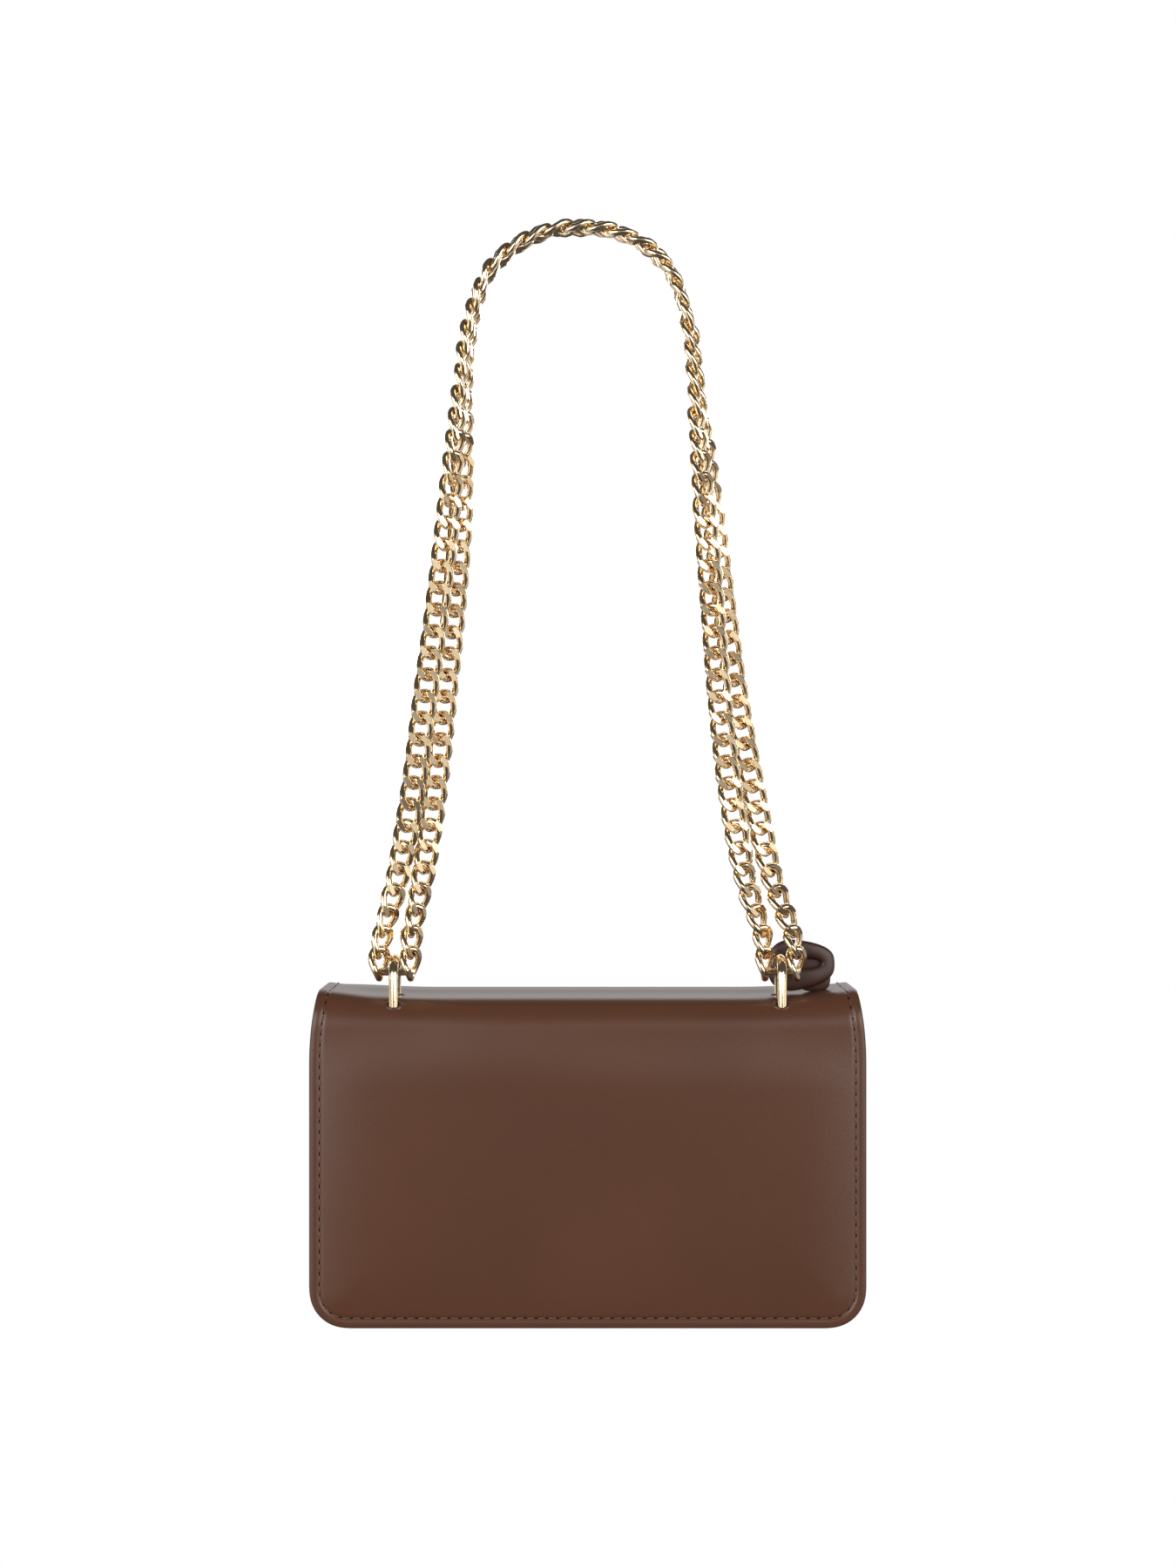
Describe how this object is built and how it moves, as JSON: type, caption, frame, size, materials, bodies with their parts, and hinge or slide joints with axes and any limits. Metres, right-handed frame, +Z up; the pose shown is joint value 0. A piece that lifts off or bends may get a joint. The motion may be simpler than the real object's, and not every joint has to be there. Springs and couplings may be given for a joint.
{
  "type": "crossbody bag",
  "caption": "Flap crossbody bag in brown leather, hanging from a doubled curb chain that runs through two metal rings in its top.",
  "frame": {"origin": "inside of the strap's top, where it hangs over a shoulder or a hook", "axes": "-Y out of the bag's back, which rests against the wearer, +Y out of its flap and front, +X across the bag, +Z up"},
  "size_m": [0.21, 0.056, 0.4189],
  "materials": {
    "chain": "polished, light gold plate",
    "outer_leather": "satin, fine grain",
    "tag_leather": "satin",
    "lining_leather": "matte, smooth",
    "board": "matte fibreboard",
    "steel": "plain"
  },
  "bodies": {
    "strap": {"chain_front_strand": "chain", "chain_back_strand": "chain", "chain_ring_links": "chain"},
    "bag": {"ring_left": "chain", "ring_right": "chain", "ring_keeper_left": "outer_leather", "ring_keeper_right": "outer_leather", "keeper_rivets": "steel", "back_panel": "outer_leather", "back_board": "board", "top_board": "board", "front_panel": "outer_leather", "front_board": "board", "gusset": "outer_leather", "base_board": "board", "lining": "lining_leather", "slip_pocket": "outer_leather", "front_magnet": "steel", "tag": "tag_leather"},
    "flap_top": {"flap_top_leather": "outer_leather", "flap_top_lining": "lining_leather"},
    "flap_front": {"flap_front_leather": "outer_leather", "flap_front_board": "board", "flap_front_lining": "lining_leather", "flap_magnet": "steel"}
  },
  "joints": [
    {"name": "bag_swing", "type": "hinge", "parent": "strap", "child": "bag", "pos_m": [0, 0, -0.282], "axis": [1, 0, 0], "range_deg": [-90, 12]},
    {"name": "flap_top_lift", "type": "hinge", "parent": "bag", "child": "flap_top", "pos_m": [0.0035, 0.014, -0.2881], "axis": [1, 0, 0], "range_deg": [0, 90]},
    {"name": "flap_front_lift", "type": "hinge", "parent": "flap_top", "child": "flap_front", "pos_m": [0.0035, 0.044, -0.2961], "axis": [1, 0, 0], "range_deg": [0, 60], "stiffness_Nm_per_rad": 0.05, "springref_deg": -17.19}
  ]
}
